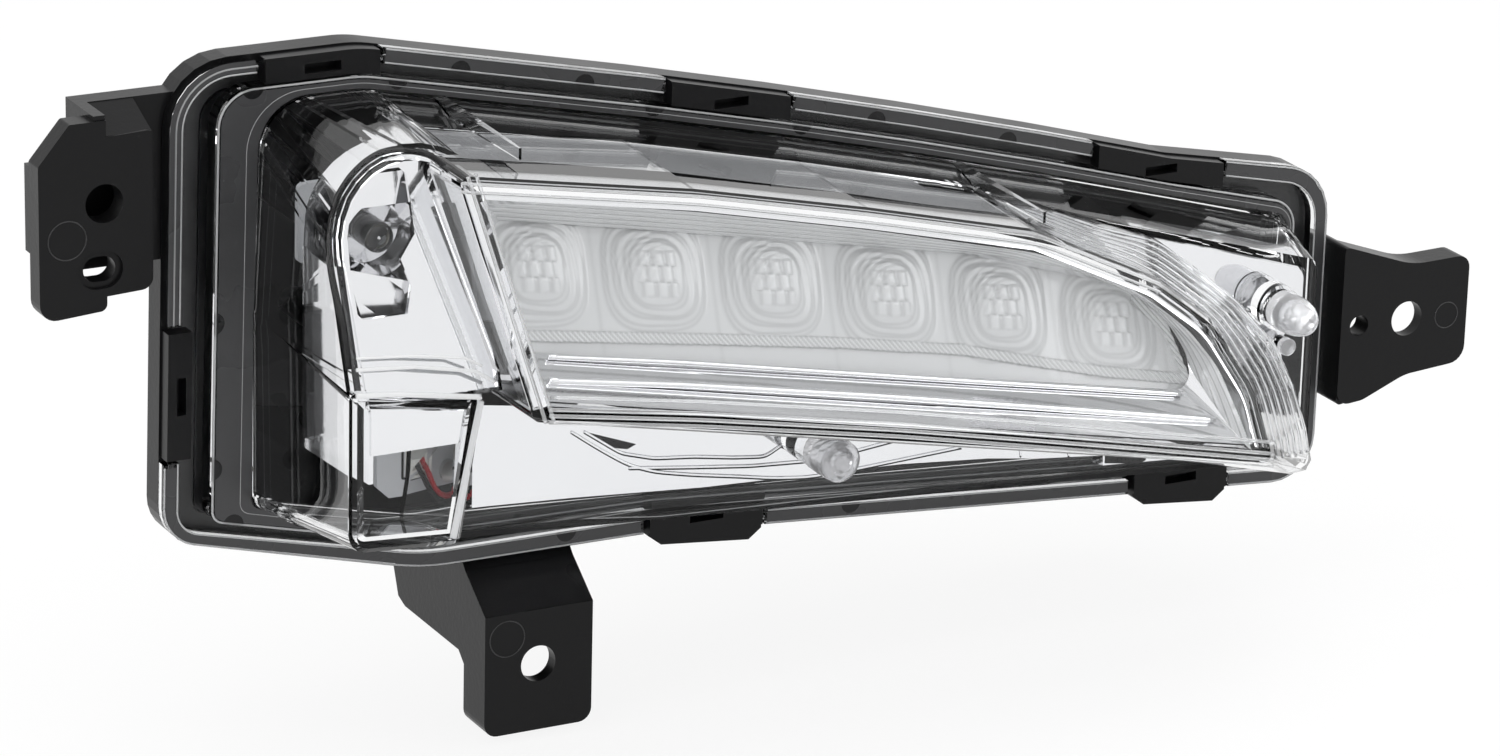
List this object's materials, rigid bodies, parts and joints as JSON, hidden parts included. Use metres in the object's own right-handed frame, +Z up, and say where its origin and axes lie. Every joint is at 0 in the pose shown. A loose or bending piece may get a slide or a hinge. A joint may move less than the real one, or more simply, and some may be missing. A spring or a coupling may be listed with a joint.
{
  "type": "daytime running light",
  "caption": "Slim car daytime running light: black back shell with screw ears, clear stepped cover, mirror frame, frosted panel and diode strip.",
  "frame": {"origin": "centre of the left ear's screw hole, on the front face of the ear", "axes": "+X along the lamp, from the left ear to the right ear as seen from the front; +Y back into the car, square to the ears' front faces; +Z up"},
  "size_m": [0.3405, 0.1295, 0.1526],
  "materials": {
    "black_shell": "satin black moulded plastic",
    "clear_cover": "clear polished plastic",
    "black_glue": "cured sealing glue",
    "mirror_coat": "mirror metal coat on plastic",
    "frosted_panel": "frosted white light panel",
    "clear_optic": "clear moulded optic",
    "white_board": "white solder mask",
    "diode": "diode package with yellow phosphor",
    "sink_metal": "bare pressed sheet",
    "cream_plastic": "cream connector plastic",
    "red_sleeve": "red lead sleeve",
    "black_sleeve": "black lead sleeve",
    "pin_metal": "tinned contact metal",
    "vent_rubber": "black vent cap",
    "screw_steel": "zinc plated screw"
  },
  "bodies": {
    "root": {"housing": "black_shell", "outer_lens": "clear_cover", "sealing_bead": "black_glue", "bezel": "mirror_coat", "optic_panel": "frosted_panel", "collimator_bar": "clear_optic", "led_board": "white_board", "led_1": "diode", "led_2": "diode", "led_3": "diode", "led_4": "diode", "led_5": "diode", "led_6": "diode", "heat_sink": "sink_metal", "side_reflector": "mirror_coat", "side_light_guide": "clear_optic", "side_led_board": "white_board", "side_led": "diode", "driver_board": "white_board", "board_socket": "cream_plastic", "socket_plug": "cream_plastic", "wire_red": "red_sleeve", "wire_black": "black_sleeve", "contact_pins": "pin_metal", "vent_cap": "vent_rubber", "board_screws": "screw_steel", "driver_screws": "screw_steel"}
  },
  "joints": []
}
